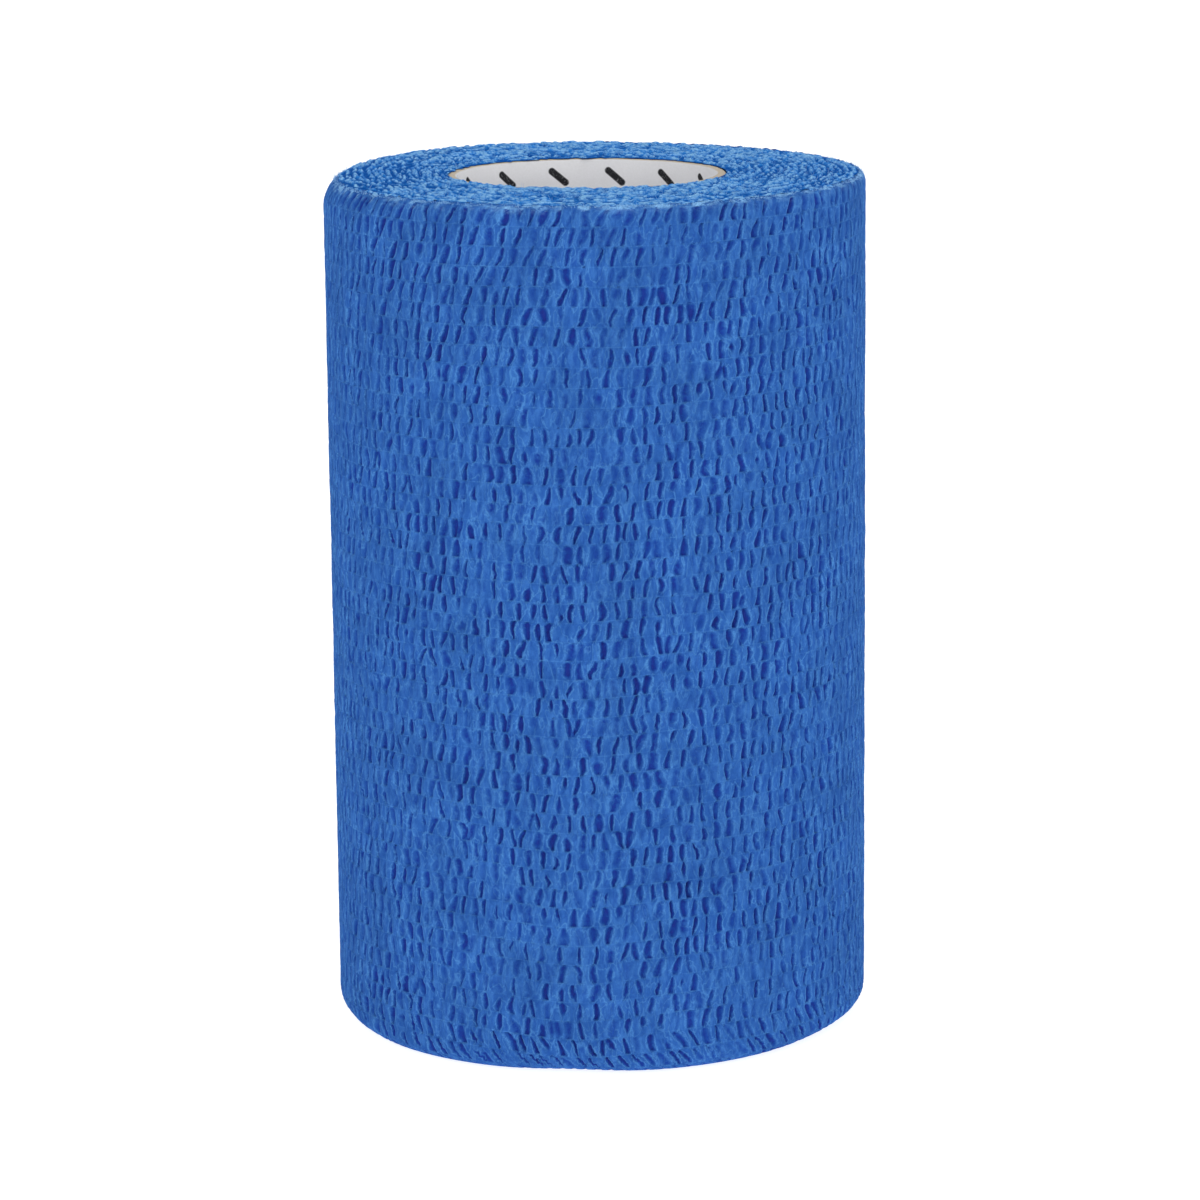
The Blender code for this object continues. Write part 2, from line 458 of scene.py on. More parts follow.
DASH_COLUMNS = 14  # plain dashes around the lining, and their sizes in millimetres
DASH_ROW_PITCH = 8.0
DASH_FIRST_ROW = 2.1  # how far the first row's middle is below the tube's upper edge
DASH_LENGTH = 3.0
DASH_WIDTH = 0.85
DASH_BLUR = 0.06  # how soft a dash's outline is, to each side
DASH_SLANT = math.radians(40)


def dash_share(n, place):
    """Share of ink: slanted dashes with round ends, evenly spaced around the lining and down it."""
    x, y, z = [n.add("ShaderNodeSeparateXYZ", axis, {0: place}) for axis in "XYZ"]
    from_centre = [n.math("SUBTRACT", x, CORE_CENTRE.x), n.math("SUBTRACT", y, CORE_CENTRE.y)]
    turn = n.math("DIVIDE", n.math("ARCTAN2", *from_centre), TURN / DASH_COLUMNS)
    row_start = CORE_TOP + (DASH_ROW_PITCH / 2 - DASH_FIRST_ROW) * MM
    down = n.math("DIVIDE", n.math("SUBTRACT", row_start, z), DASH_ROW_PITCH * MM)
    row = n.math("FLOOR", down)
    turn = n.math("ADD", turn, n.times(row, 0.5))
    column_pitch = TURN * CORE_INNER / MM / DASH_COLUMNS
    across = n.times(n.math("SUBTRACT", n.math("FRACT", turn), 0.5), column_pitch)
    below = n.times(n.math("SUBTRACT", n.math("SUBTRACT", down, row), 0.5), DASH_ROW_PITCH)
    cos, sin = math.cos(DASH_SLANT), math.sin(DASH_SLANT)
    along = n.math("ADD", n.times(across, cos), n.times(below, sin))
    aside = n.math("SUBTRACT", n.times(below, cos), n.times(across, sin))
    past_end = n.math("SUBTRACT", n.math("ABSOLUTE", along), (DASH_LENGTH - DASH_WIDTH) / 2)
    past_end = n.math("MAXIMUM", past_end, 0.0)
    squares = n.math("ADD", n.times(past_end, past_end), n.times(aside, aside))
    half = DASH_WIDTH / 2
    return n.spread(n.math("SQRT", squares), half - DASH_BLUR, half + DASH_BLUR, 1.0, 0.0)


LINING_GREY = (0.830, 0.832, 0.868, 1)
LINING_WHITE = (0.900, 0.900, 0.920, 1)
LINING_PULP = (0.760, 0.755, 0.760, 1)  # specks of pulp in the lining
INK = (0.014, 0.014, 0.018, 1)
BOARD_BROWN = (0.440, 0.360, 0.260, 1)  # the tube's cut edge, from its darkest to its palest
BOARD_CREAM = (0.640, 0.580, 0.480, 1)


def paper_material():
    """Matt white lining paper inside a cream paperboard tube."""
    n = Nodes("core_paper")
    place = n.place()
    pulp = n.noise(place, 3800, 4.0, 0.65)
    white = n.blend(n.noise(place, 320, 2.0), LINING_GREY, LINING_WHITE)
    color = n.blend(n.spread(pulp, 0.35, 0.7, 0.0, 0.35), white, LINING_PULP)
    ink = n.times(dash_share(n, place), n.spread(pulp, 0.25, 0.45, 0.75, 1.0))
    color = n.blend(ink, color, INK)
    color = n.blend(n.value("cut_edge"), color, n.blend(pulp, BOARD_BROWN, BOARD_CREAM))
    return n.finished(color, n.spread(pulp, 0.3, 0.7, 0.7, 0.9), 0.3, n.relief(pulp, 0.03 * MM, 0.5))


# ----- The outer turn: rows of puckers between elastic threads -----
ROWS = 46  # rows of puckers over the width of the strip
CREASES = 122  # creases around the roll in one row
COLUMNS = 1080  # points of the mesh around the roll
ROW_SAMPLES = (0.0, 0.05, 0.27, 0.54, 0.83, 0.955)  # lines of the mesh in one row, from thread to thread
STEP_DROPS = (0.0, 0.10, 0.45, 0.80)  # the last columns go down the strip's cut end, by shares of the step
STEP_GAP = 0.00012  # share of a turn between the cut end and the columns beside it
BAND_NAMES = ("outer_turn_base", "outer_turn_lower", "outer_turn_upper", "outer_turn_rim")
SHELL = 0.9 * MM  # thickness of the outer turn's pieces
THREAD_TILT = 0.40 * MM  # the threads climb towards +X,
THREAD_DRIFT = 0.12 * MM  # and wander a little
THREAD_STILL = 0.06  # share of the width beside each edge where they do so less and less

# How the creases differ, in gaps between creases and in rows. A pair gives the least and the most.
LEAN_STRONG = 0.28  # how far one crease in twenty leans
BASE_SLANT = (1.0, 0.8, 0.45)  # how far the creases of the lowest rows lean
BASE_SLANT_SPREAD = 0.35
RIM_SLANT = 0.60  # how far those under the rim lean the other way, fading out downwards
RIM_SLANT_ROWS = 5.0
RIM_SLANT_SIDE = math.radians(-130)
PINCH = 0.22  # how far two neighbours come together at a thread
PINCH_SHARE = 0.06  # and the share of creases that do
DARK_SHARE = 0.56  # share of dark creases,
NOT_FAINT_SHARE = 0.88  # and of dark and middling ones; the rest are faint
DARK_TONE = (0.74, 1.0)
MIDDLING_TONE = (0.42, 0.76)
FAINT_TONE = (0.20, 0.44)
TONE_PATCHES = 0.20  # how far whole patches are darker or paler
HALF_WIDE = 1.4  # how much wider one crease in twenty is
HALF_DARK = 0.87  # width of a dark crease,
HALF_OTHER = (1.05, 1.65)  # and of the others
HALF_LIMITS = (0.55, 1.65)
START = (-0.16, 0.0)  # where a crease starts above the thread below it,
STOP = (-0.04, 0.14)  # and where it stops past the thread above it
SHORT_SHARE = 0.12  # share of the creases that stop short at an end,
SHORT_BY = (0.12, 0.40)  # and by how much
JOIN_REACH = 0.24  # how near a crease above must be to be run on into,
JOIN_SHARE = 0.22  # and the share that do so
END_TAPER = 0.24  # share of a row over which a crease fades out at each end
END_NARROW = 0.35  # its width at its very end
WARP = 0.06  # how far the creases waver

# Relief
HALF_CREASE = 0.23 * MM
CREASE_DEPTH = 0.44 * MM
CREASE_REACH = 1.15  # how far its hollow reaches, in half widths
PUFF_FALL = 0.13 * MM  # how far a pucker falls from its crown to the creases beside it,
THREAD_FALL = 0.035 * MM  # and to the threads above and below it
SOFT_RELIEF = 0.020 * MM  # waves larger than a pucker,
FINE_RELIEF = 0.014 * MM  # and crinkles smaller than one
FACE_RISE = 0.03 * MM  # how far the crowns stand off the solid's face
FLAT_BASE = 4.5 * MM  # the puckers flatten below this height
END_LIFT = 0.30 * MM  # how far the cut end stands off the roll at most
END_LIFT_REACH = 3.0 * MM
END_FRAY = 0.30 * MM  # how far its frayed edge reaches
RIM_PALE_SIDE = math.radians(-25)  # where the rim's cut edge is frayed most
RIM_UNEVEN = 0.06  # in mm
RIM_LINES = np.array([  # the cut edge and the hidden face in it: mm in, mm down, painted shade, frayed
    (0.14, 0.00, 0.0, 1.0),
    (0.28, 0.00, 0.0, 1.0),
    (0.42, 0.02, 0.0, 0.9),
    (0.50, 1.60, 1.0, 0.0),
])
RIM_IN, RIM_DOWN, RIM_PAINTED_SHADE, RIM_FRAYED = RIM_LINES.T[:, :, None]


def side_outline(angle, share, around):
    """The turn's plain outer face at a share of the way up: radius, height and both parts of the normal."""
    rim = rim_height(angle)
    curl = rim_round(angle)
    foot = base_round(angle)
    straight = rim - curl - foot
    length = foot * math.pi / 2 + straight + curl * RIM_ARC
    along = share * length - foot * math.pi / 2
    low = along < 0
    high = along > straight
    turn = np.where(low, along / foot, np.where(high, (along - straight) / curl, 0.0))
    upper = np.where(high, rim - curl + curl * np.sin(turn), foot + along)
    height = np.where(low, foot * (1 + np.sin(turn)), upper)
    taper = np.clip(height / WIDTH, 0, 1)
    radius = BASE_RADIUS + (TOP_RADIUS - BASE_RADIUS) * taper + LAYER * (around - 0.5)
    radius = radius - np.where(low, foot, np.where(high, curl, 0.0)) * (1 - np.cos(turn))
    return radius, height, np.cos(turn), np.sin(turn)


def crease_places(dice, chance):
    """Where every crease is around the roll: its middle, its lower end and its upper end."""
    shape = (ROWS, CREASES)
    gaps = np.exp(dice.normal(0.0, 0.22, shape))
    place = np.cumsum(gaps, 1)
    place = (place - 0.5 * gaps) * CREASES / place[:, -1:]
    lean = dice.normal(0.0, 0.12, shape)
    lean = lean + chance(0.05) * dice.choice([-LEAN_STRONG, LEAN_STRONG], shape)
    slant = 1 + BASE_SLANT_SPREAD * smooth_noise(CREASES, 8.0, dice)
    for row, most in enumerate(BASE_SLANT):
        lean[row] -= most * slant
    angle = END_ANGLE + (np.arange(CREASES) + 0.5) / CREASES * TURN
    for row in range(ROWS):
        most = RIM_SLANT * math.exp((row - ROWS) / RIM_SLANT_ROWS)
        lean[row] += most * near_side(angle, RIM_SLANT_SIDE, 2)
    pinch_top = PINCH * chance(PINCH_SHARE)
    pinch_base = PINCH * chance(PINCH_SHARE)
    top = place + lean / 2 + pinch_top - np.roll(pinch_top, 1, 1)
    base = place - lean / 2 + pinch_base - np.roll(pinch_base, 1, 1)
    return place, base, top


def crease_tones(kind, place, dice):
    """How dark every crease is, in painted shade and in depth, by its kind and by the patch of cloth that it
    is in.
    """
    dark = dice.uniform(*DARK_TONE, kind.shape)
    middling = dice.uniform(*MIDDLING_TONE, kind.shape)
    faint = dice.uniform(*FAINT_TONE, kind.shape)
    tone = np.where(kind < DARK_SHARE, dark, np.where(kind < NOT_FAINT_SHARE, middling, faint))
    patches = PlaneNoise(ROWS // 2, CREASES // 3, dice)
    patch = patches.at(np.arange(ROWS)[:, None] / ROWS, place / CREASES)
    return tone * np.clip(1 + TONE_PATCHES * patch, 0.5, 1.3)


def join_upwards(base, top, dice):
    """Lets some creases run on into the nearest one above. Returns 1 for those that do."""
    joined_above = np.zeros(top.shape)
    for row in range(ROWS - 1):
        above = base[row + 1]
        nearest = np.clip(np.searchsorted(above, top[row]), 1, CREASES - 1)
        nearest -= (top[row] - above[nearest - 1]) < (above[nearest] - top[row])
        gap = above[nearest] - top[row]
        joined = (np.abs(gap) < JOIN_REACH) & (dice.uniform(0, 1, CREASES) < JOIN_SHARE)
        middle = top[row] + gap / 2
        top[row] = np.where(joined, middle, top[row])
        above[nearest[joined]] = middle[joined]
        joined_above[row] = joined
    return joined_above


def crease_table(dice):
    """Every crease as numbers, in units of the mean gap around the roll and of a row's height."""
    shape = (ROWS, CREASES)

    def chance(share):
        return dice.uniform(0, 1, shape) < share

    place, base, top = crease_places(dice, chance)
    kind = dice.uniform(0, 1, shape)
    dark = crease_tones(kind, place, dice)
    half = np.exp(dice.normal(0.0, 0.22, shape)) * np.where(chance(0.05), HALF_WIDE, 1.0)
    half = half * np.where(kind > DARK_SHARE, dice.uniform(*HALF_OTHER, shape), HALF_DARK)
    start = dice.uniform(*START, shape) + chance(SHORT_SHARE) * dice.uniform(*SHORT_BY, shape)
    stop = 1 + dice.uniform(*STOP, shape) - chance(SHORT_SHARE) * dice.uniform(*SHORT_BY, shape)
    joined = join_upwards(base, top, dice)
    return {
        "top": top,
        "base": base,
        "bow": dice.normal(0.0, 0.07, shape),
        "sway": dice.normal(0.0, 0.05, shape),
        "dark": dark,
        "half": np.clip(half, *HALF_LIMITS),
        "taper": np.clip(dice.normal(0.0, 0.22, shape), -0.5, 0.5),
        "start": start,
        "stop": stop,
        "joined": joined,
    }


def crease_line(table, row, share, column):
    """One line around the roll, at a share of the way up a row of creases.

    The phase passes a whole number in each crease's middle, and the width is half the nearest one's in
    the same units. "near" is how near that one is even where it doesn't reach this line.
    """
    pick = {name: values[row] for name, values in table.items()}
    middle = pick["base"] * (1 - share) + pick["top"] * share + pick["bow"] * 4 * share * (1 - share)
    middle = middle + pick["sway"] * math.sin(TURN * share)
    order = np.argsort(middle)
    middle = middle[order]
    started = smooth_step((share - pick["start"]) / END_TAPER)
    ends = started * smooth_step((pick["stop"] - share) / END_TAPER)
    dark = (pick["dark"] * np.minimum(2 * ends, 1))[order]
    narrowed = END_NARROW + (1 - END_NARROW) * ends
    half = (pick["half"] * (1 + pick["taper"] * (2 * share - 1)) * narrowed)[order]
    half = half * HALF_CREASE / (TURN * TOP_RADIUS / CREASES)

    knots = np.concatenate([[middle[0] - 1], middle, [middle[-1] + 1]])
    phase = np.interp(column, knots, np.arange(-1, CREASES + 1))
    nearest = np.clip(np.rint(phase), 0, CREASES - 1).astype(int)
    before = np.clip(np.floor(phase).astype(int) + 1, 0, CREASES)
    width = half[nearest] / np.maximum(knots[before + 1] - knots[before], 0.25)
    away = np.abs(phase - nearest) / width
    part = phase - np.floor(phase)
    return {
        "phase": phase,
        "width": width,
        "dark": dark[nearest],
        "deep": dark[nearest] * np.exp(-(away / CREASE_REACH) ** 2),
        "crown": 4 * part * (1 - part),
        "near": pick["dark"][order][nearest] * np.exp(-away ** 2),
        "runs_on": pick["joined"][order][nearest],
    }


def side_fields(column, dice):
    """Grids of what crease_line tells on every line, with its place in rows, bulge and thread."""
    table = crease_table(dice)
    warp = PlaneNoise(ROWS * 2, int(CREASES * 1.6), dice)
    lines = []
    for row in range(ROWS + 1):
        for sample in ROW_SAMPLES if row < ROWS else ROW_SAMPLES[:1]:
            moved = column + WARP * warp.at((row + sample) / ROWS, column / CREASES)
            line = crease_line(table, min(row, ROWS - 1), sample, moved)
            line["place"] = row + sample
            line["bulge"] = (4 * sample * (1 - sample)) ** 0.5
            line["bridge"] = 0.0
            line["thread"] = 0.0
            if sample == 0:
                below = crease_line(table, max(row - 1, 0), 1.0, moved)
                line["bridge"] = below["near"] * below["runs_on"]
                shown = 0.35 + 0.6 * np.maximum(below["near"], line["near"])
                line["thread"] = shown * (1 - line["bridge"])
                line["deep"] = line["bridge"]
            if sample in (ROW_SAMPLES[0], ROW_SAMPLES[-1]):
                line["dark"] = 0.0
            lines.append(line)

    def grid(name):
        return np.stack([np.broadcast_to(line[name], column.shape) for line in lines])

    return {name: grid(name) for name in lines[0]}


def turn_columns():
    """The columns' shares of the way around, and how far down the step at the cut end each one is."""
    face = len(STEP_DROPS) - 1
    around = np.linspace(STEP_GAP, 1 - STEP_GAP, COLUMNS - face)
    around = np.concatenate([around, np.full(face, around[-1])])
    drop = np.concatenate([np.zeros(COLUMNS - face), STEP_DROPS[1:]])
    return around, drop


def thread_drift(share, around, dice):
    """How far the threads lie above even rows."""
    drift = PlaneNoise(9, 16, dice).at(share, around) * THREAD_DRIFT
    drift += THREAD_TILT * np.cos(around * TURN + END_ANGLE)
    return drift * smooth_step(np.minimum(share, 1 - share) / THREAD_STILL)


def pucker_offset(fields, share, around, drop, dice):
    """How far the cloth stands off the turn's plain outer face."""
    before_end = (1 - around) * TURN * TOP_RADIUS
    from_end = np.minimum(around, 1 - around) * TURN * TOP_RADIUS
    soft = PlaneNoise(26, 64, dice).at(share, around)
    fine = PlaneNoise(150, 540, dice).at(share, around)
    free = 1 - 0.8 * np.exp(-(from_end / END_FRAY) ** 2)
    free = free * (0.15 + 0.85 * smooth_step(share * WIDTH / FLAT_BASE))
    offset = free * (-CREASE_DEPTH * fields["deep"] - PUFF_FALL * (1 - fields["crown"] ** 0.8))
    offset = offset - THREAD_FALL * (1 - fields["bulge"])
    offset = offset + SOFT_RELIEF * soft + FINE_RELIEF * fine + FACE_RISE
    lift = np.clip(0.45 + 0.35 * smooth_noise(len(share), 16.0, dice), 0, 1)[:, None] * END_LIFT
    lift = lift * smooth_step(1 - before_end / END_LIFT_REACH)
    return (offset + lift) * (1 - drop) - LAYER * drop


def ragged_end(around, drop, dice):
    """How far the strip's cut end wanders around the roll from a straight line, fading out beside it."""
    from_end = np.minimum(around, 1 - around) * TURN * TOP_RADIUS
    lines = len(around)
    ragged = smooth_noise(lines, 2.0, dice) * 0.16 + smooth_noise(lines, 11.0, dice) * 0.30
    return ragged[:, None] * MM * np.exp(-from_end / (1.6 * MM)) + 0.06 * MM * np.sin(drop * math.pi)


def rim_edge(angle, radius, height, dice):
    """Points of the rim's cut edge and of the hidden face in it, from the last line of the outer face."""
    bend = rim_round(angle)
    crest = height + rim_fall(bend, 0.0)
    uneven = np.stack([smooth_noise(COLUMNS, 4.0, dice) for _ in RIM_LINES]) * RIM_UNEVEN * MM
    edge_height = crest - rim_fall(bend, RIM_IN * MM) - RIM_DOWN * MM + uneven
    return around_axis(angle, radius - RIM_IN * MM, edge_height)


def turn_bands(material, points, values, angle, radius, height):
    """The outer turn as closed pieces, each with a plain inner face."""
    normals = grid_normals(points)
    per_band = len(ROW_SAMPLES) * math.ceil(ROWS / len(BAND_NAMES))
    top_line = len(points) - 1
    pieces = []
    for band, name in enumerate(BAND_NAMES):
        first = band * per_band
        is_rim = name == BAND_NAMES[-1]
        last = top_line if is_rim else first + per_band
        rows = np.arange(first, last + 1)
        inner_rows = [first] if is_rim else [last, first]
        inner = [around_axis(angle[row], radius[row] - SHELL, height[row]) for row in inner_rows]
        inward = [-outward(angle[row]) for row in inner_rows]
        band_points = np.concatenate([points[rows], np.stack(inner)])
        band_normals = np.concatenate([normals[rows], np.stack(inward)])
        picked = np.concatenate([rows, [top_line] * len(inner_rows)])
        band_values = {label: array[picked] for label, array in values.items()}
        faces = ring_faces(len(band_points), COLUMNS)
        pieces.append(make_mesh(name, material, band_points, faces, band_values, band_normals))
    return pieces


def outer_turn(material):
    """The puckered outer turn, as bands that meet on lines around the roll, and the line of its cut end."""
    dice = np.random.default_rng(31)
    column_around, drop = turn_columns()
    fields = side_fields(column_around * CREASES, dice)
    share = fields["place"] / ROWS
    around = column_around + 0 * share
    share = share + thread_drift(share, around, dice) / WIDTH
    offset = pucker_offset(fields, share, around, drop, dice)

    angle = END_ANGLE + around * TURN
    radius, height, out, up = side_outline(angle, share, around)
    angle = angle + END_SKEW * (height / WIDTH - 0.5) + ragged_end(around, drop, dice) / TOP_RADIUS
    offset = np.where(offset > 0, offset * np.clip(height / (1.2 * MM), 0, 1), offset)
    face_radius = radius + out * offset
    face_height = height + up * offset
    points = around_axis(angle, face_radius, np.maximum(face_height, 0.0))
    end_line = points[:, COLUMNS - len(STEP_DROPS)]

    uneven_end = np.clip(0.6 + 0.4 * smooth_noise(len(share), 4.0, dice), 0.1, 1)[:, None]
    before_end = (1 - around) * TURN * TOP_RADIUS
    cut_end = np.exp(-before_end / END_FRAY) * (1 - 0.8 * drop) * uneven_end
    clump = 0.50 + 0.30 * near_side(angle[-1], RIM_PALE_SIDE, 2)
    clump = np.clip(clump + 0.55 * smooth_noise(COLUMNS, 5.0, dice), 0, 1)[None, :]
    reach = 0.5 * MM + 0.6 * MM * near_side(angle, RIM_SOFT_SIDE, 2)
    fray = np.maximum(clump * smooth_step((share - 1) * WIDTH / reach + 1), 0.9 * cut_end)
    # Painted shade along the foot of the step at the strip's cut end, through the creases' bridge value.
    bridge = np.maximum(fields["bridge"], 0.5 * (drop > 0.7))

    edge = rim_edge(angle[-1], face_radius[-1], face_height[-1], dice)
    level = np.ones((len(RIM_LINES), COLUMNS))
    values = {
        "phase": np.concatenate([fields["phase"], fields["phase"][-1] * level]),
        "width": np.concatenate([fields["width"], fields["width"][-1] * level]),
        "dark": np.concatenate([fields["dark"] * (drop == 0), 0 * level]),
        # The rim's hidden face gets painted shade.
        "bridge": np.concatenate([bridge, RIM_PAINTED_SHADE * level]),
        "thread": np.concatenate([fields["thread"], 0 * level]),
        "crown": np.concatenate([fields["crown"] * fields["bulge"], 0 * level]),
        "fray": np.concatenate([fray, clump * RIM_FRAYED]),
    }
    return turn_bands(material, np.concatenate([points, edge]), values, angle, radius, height), end_line


# ----- The wound ends: the cut edges of the turns -----
TURNS = 18.2  # turns between the outer face and the hole
STRIP_LENGTH = TURN * 25 * MM * 22  # a little more than the wound strip's length
KNOTS_APART = {  # length of strip between two random knots, in mm
    "ripple": 0.60,
    "bend": 2.6,
    "tall": 0.60,
    "rise": 7.0,
    "streak": 0.50,
}
RIPPLE = 0.24  # how far the crinkles and the bends reach, in layers
BEND = 0.10
RIDGE_HALF = 0.30  # half width of a turn's edge, in layers
TALL = 0.14  # heights in millimetres, from here on
TALL_LIMITS = (-0.26, 0.10)
RISE = 0.05
RIDGE_FALL = 0.46  # from a turn's edge down to the hollow beside it
DEEPEST = -0.54
HOLLOW_START = 0.06  # a hollow's shade starts below this height,
HOLLOW_REACH = 0.44  # and is full this much lower

WALL_OVERLAP = 0.12 * MM  # how far the face reaches past the cloth's wall at the hole
RIM_TUCK = 0.32 * MM  # how far inside the outer turn's edge the upper face stops
JOIN_WIDTH = 0.6 * MM  # its relief fades out over this distance before it
UPPER_SINK = 0.06 * MM  # how far the ends lie inside the solid
BASE_SINK = 0.18 * MM
UPPER_WALL = 4.5 * MM  # how deep the hidden walls behind the ends reach
BASE_WALL = 2.4 * MM


class WoundEnd:
    """The crinkled edges of the turns, followed along the strip from its cut end inwards."""

    def __init__(self, seed):
        dice = np.random.default_rng(seed)
        self.lines = {name: LineNoise(STRIP_LENGTH, apart * MM, dice) for name, apart in KNOTS_APART.items()}

    def strip_place(self, layer, around):
        """Length of strip between its cut end and this place on a given layer."""
        turns = layer + 1 - around
        radius = TOP_RADIUS - LAYER * turns / 2
        return TURN * radius * np.clip(turns, 0, None)

    def edges(self, depth_in_layers, around):
        """Height above the plain end face, depth in a hollow from 0 to 1, and paleness from 0 to 1."""
        best = np.full(np.broadcast(depth_in_layers, around).shape, -1.0)
        pale = np.zeros_like(best)
        for step in (-1, 0, 1):
            layer = np.floor(depth_in_layers) + step
            place = self.strip_place(layer, around)
            noise = {name: line.at(place) for name, line in self.lines.items()}
            middle = layer + 0.5 + RIPPLE * np.tanh(noise["ripple"]) + BEND * noise["bend"]
            away = (depth_in_layers - middle) / RIDGE_HALF
            top = np.clip(TALL * noise["tall"], *TALL_LIMITS) + RISE * noise["rise"]
            ridge = top - RIDGE_FALL * (1 - np.exp(-away ** 2))
            ridge = np.where(layer < 0, -1.0, ridge)
            streak = smooth_step(0.42 + 0.45 * noise["streak"] + 0.30 * noise["tall"])
            pale = np.where(ridge > best, streak * np.exp(-(away / 0.8) ** 2), pale)
            best = np.maximum(best, ridge)
        best = np.maximum(best, DEEPEST)
        return best * MM, np.clip((HOLLOW_START - best) / HOLLOW_REACH, 0, 1), pale


def end_face(name, material, seed, rings, columns, upper):
    """A wound end, from the hole to the outer turn, with hidden walls behind it."""
    angle = (np.arange(columns) / columns * TURN + END_ANGLE + 0.002)[None, :]
    around = wound_share(angle)
    rim = rim_height(angle) if upper else WIDTH
    bend = rim_round(angle) if upper else base_round(angle)
    edge = (TOP_RADIUS if upper else BASE_RADIUS) + spiral(angle)
    wall = hole_radius(angle) - WALL_OVERLAP
    hole = wall
    outside = edge - bend
    if upper:
        ragged = 1 + 0.3 * smooth_noise(columns, 6.0, np.random.default_rng(seed + 20))[None, :]
        hole = wall - LIP_REACH * near_side(angle, LIP_SIDE, 2) * ragged
        outside = edge - bend * (1 - math.cos(RIM_ARC)) - RIM_TUCK
    share = 1 - (1 - (np.arange(rings) / (rings - 1))[:, None]) ** (1.2 if upper else 1.0)
    radius = hole + (outside - hole) * share
    layers = (edge - radius) / (edge - hole) * (TURNS + around)
    relief, hollow, pale = WoundEnd(seed).edges(layers, around)

    over = np.clip((radius - edge + bend) / bend, 0, 1)
    over_hole = np.clip(1 - (radius - hole) / HOLE_ROUND, 0, 1)
    plain = WIDTH + (rim - WIDTH) * share - round_fall(bend, over) - round_fall(HOLE_ROUND, over_hole)
    if upper:
        plain = plain + END_CROWN * 4 * share * (1 - share)
        joining = smooth_step(1 - (outside - radius) / JOIN_WIDTH)
        relief = relief * (1 - 0.45 * over) * (1 - 0.8 * joining)
        height = plain + (relief - UPPER_SINK * (1 - joining)) * np.sqrt(1 - over ** 2)
        radius = radius + np.minimum(relief, 0) * over
        height = np.where(radius < wall + 0.05 * MM, np.maximum(height, CORE_TOP + 0.06 * MM), height)
    else:
        height = WIDTH - np.clip(plain + relief - BASE_SINK, 0, WIDTH)

    place = angle + END_SKEW * (0.5 if upper else -0.5)
    deep = WIDTH - UPPER_WALL if upper else BASE_WALL
    under_lip = (CORE_TOP if upper else 0.6 * MM) + 0.03 * MM
    points = np.concatenate([
        around_axis(place, wall, deep),
        around_axis(place, wall, under_lip),
        around_axis(place, radius, height),
        around_axis(place, radius[-1:], deep),
    ])
    level = np.ones((1, columns))
    # Painted shade: full on the hidden walls, and in the hollows of the face.
    values = {
        "hollow": np.concatenate([level, level, hollow, level]),
        "pale": np.concatenate([0 * level, 0 * level, pale, 0 * level]),
    }
    if upper:
        points = points[::-1]
        values = {label: array[::-1] for label, array in values.items()}
    return make_mesh(name, material, points, ring_faces(len(points), columns), values)


# ----- Loose fibres -----
FIBRE_THICKNESS = 0.026 * MM
FIBRE_SIDES = 3
FIBRE_STEPS = np.array([0.0, 0.35, 0.7, 1.0])  # shares of its length where a fibre has points
RIM_FIBRES = 2000
FACE_FIBRES = 1500
FACE_FIBRES_RADII = (17.0 * MM, 29.5 * MM)
END_FIBRES = 520


def strands(name, material, roots, directions, lengths, dice):
    """Thin hairs that bend and taper as they leave the cloth, joined into one mesh."""
    count = len(roots)
    curl = dice.normal(0, 0.45, (count, 3))
    directions = directions / np.linalg.norm(directions, axis=1, keepdims=True)
    side = np.cross(directions, curl)
    side /= np.maximum(np.linalg.norm(side, axis=1, keepdims=True), 1e-9)
    other = np.cross(directions, side)
    points = []
    for step in FIBRE_STEPS:
        middle = roots + directions * (lengths * step)[:, None] + curl * (lengths * step ** 2)[:, None]
        size = FIBRE_THICKNESS * (1 - 0.7 * step)
        for corner in range(FIBRE_SIDES):
            turn = TURN * corner / FIBRE_SIDES
            points.append(middle + size * (math.cos(turn) * side + math.sin(turn) * other))
    points = np.stack(points, 1)
    faces = []
    for first in range(0, points.shape[1] - FIBRE_SIDES, FIBRE_SIDES):
        for corner in range(FIBRE_SIDES):
            after = (corner + 1) % FIBRE_SIDES
            above = first + FIBRE_SIDES
            faces.append((first + corner, first + after, above + after, above + corner))
    starts = np.arange(count)[:, None, None] * points.shape[1]
    return make_mesh(name, material, points, (starts + np.array(faces)[None]).reshape(-1, 4))


